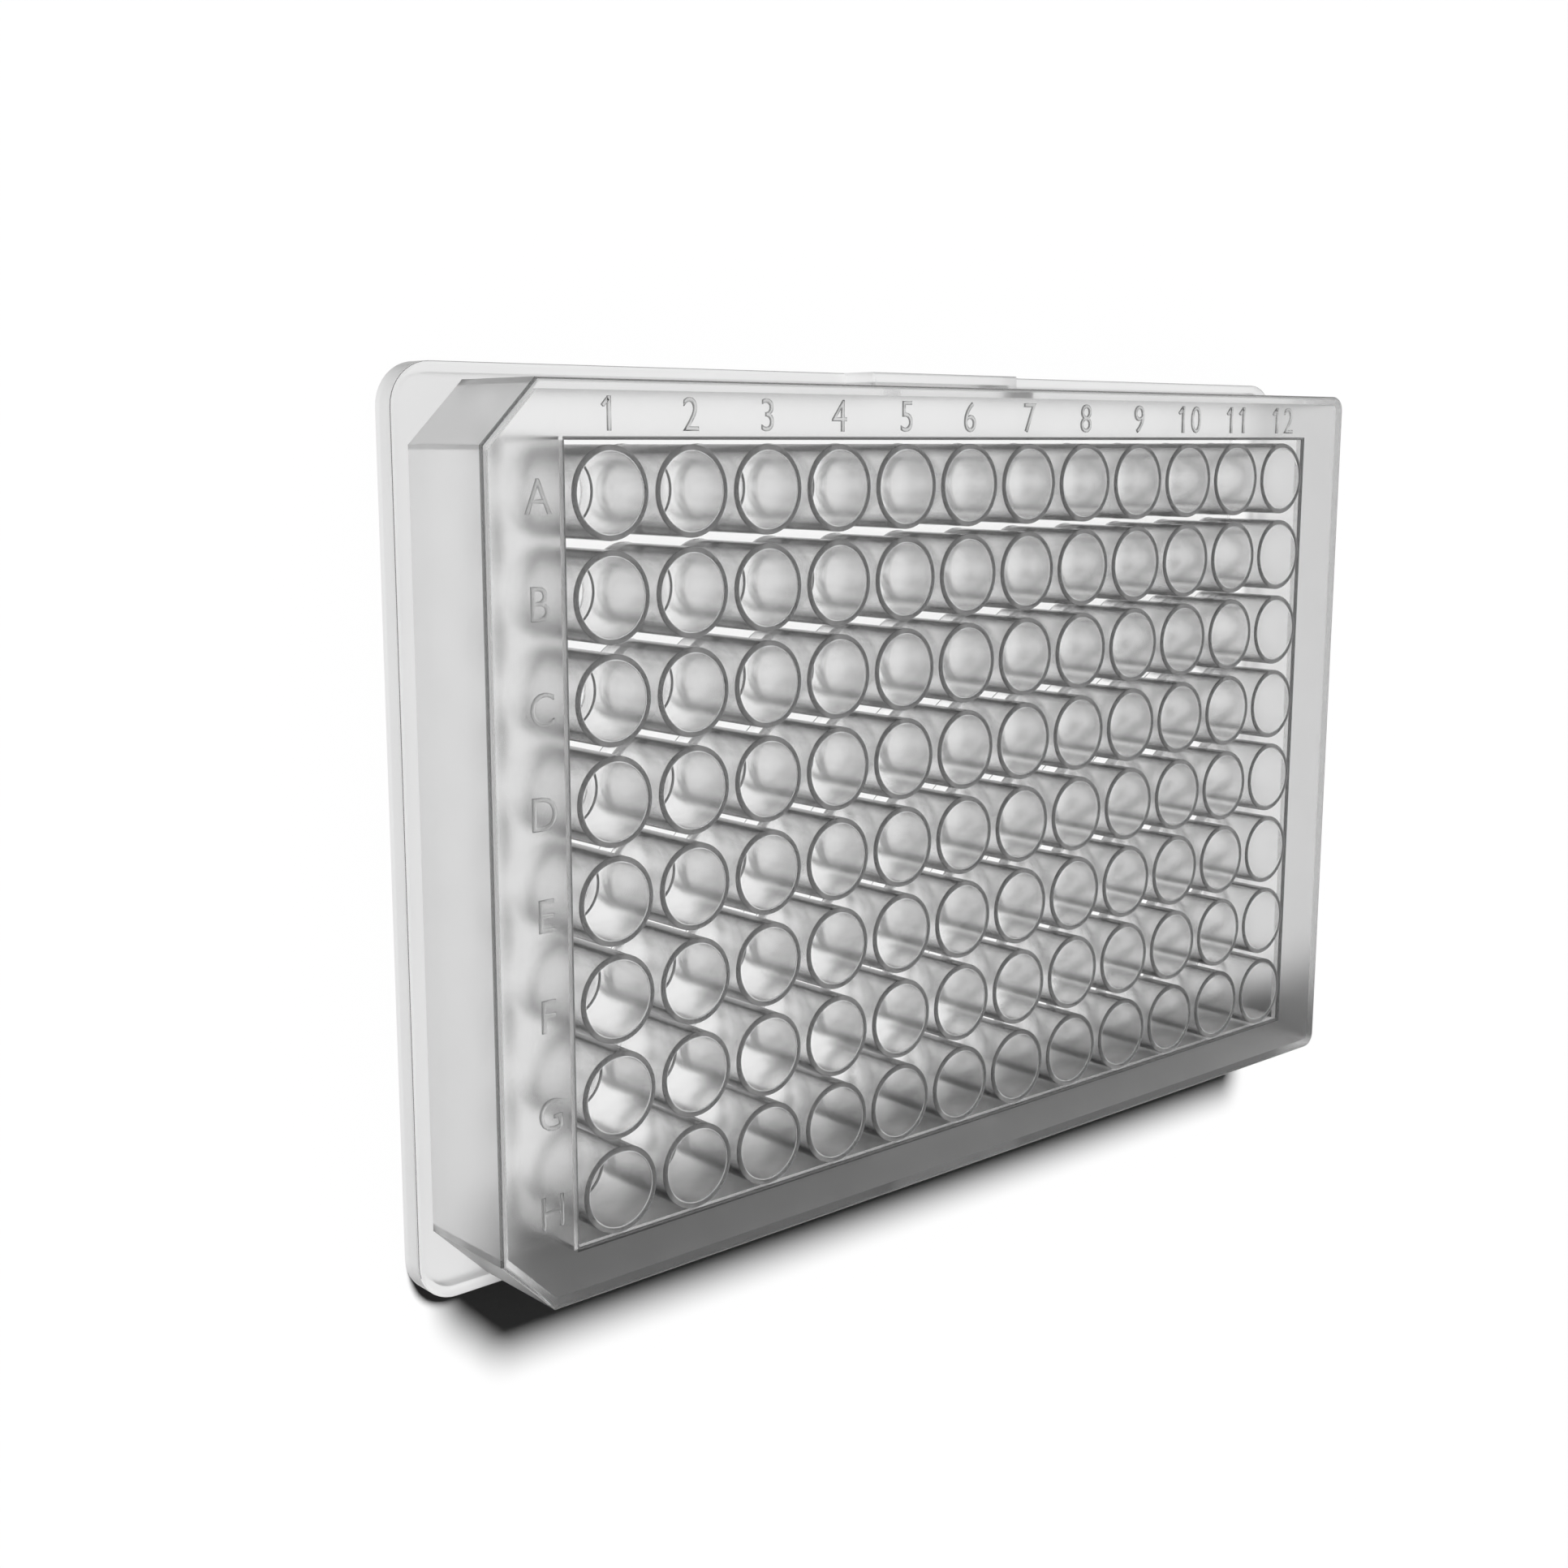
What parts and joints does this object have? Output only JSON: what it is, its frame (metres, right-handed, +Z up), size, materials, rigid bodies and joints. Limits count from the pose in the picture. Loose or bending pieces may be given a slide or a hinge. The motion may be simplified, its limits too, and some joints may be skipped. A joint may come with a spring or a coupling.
{
  "type": "well plate",
  "caption": "Shallow moulded plastic plate with a grid of small open tubes with V-shaped bottoms, for holding and handling many liquid samples side by side.",
  "frame": {"origin": "middle of the footprint, on the plane that the flange rests on", "axes": "+X along the rows of wells from column 1 to column 12, +Y from row H to row A, +Z up, out of the wells"},
  "size_m": [0.1278, 0.0854, 0.0143],
  "materials": {
    "plastic": "translucent natural plastic, satin"
  },
  "bodies": {
    "root": {"well_plate": "plastic"}
  },
  "joints": []
}
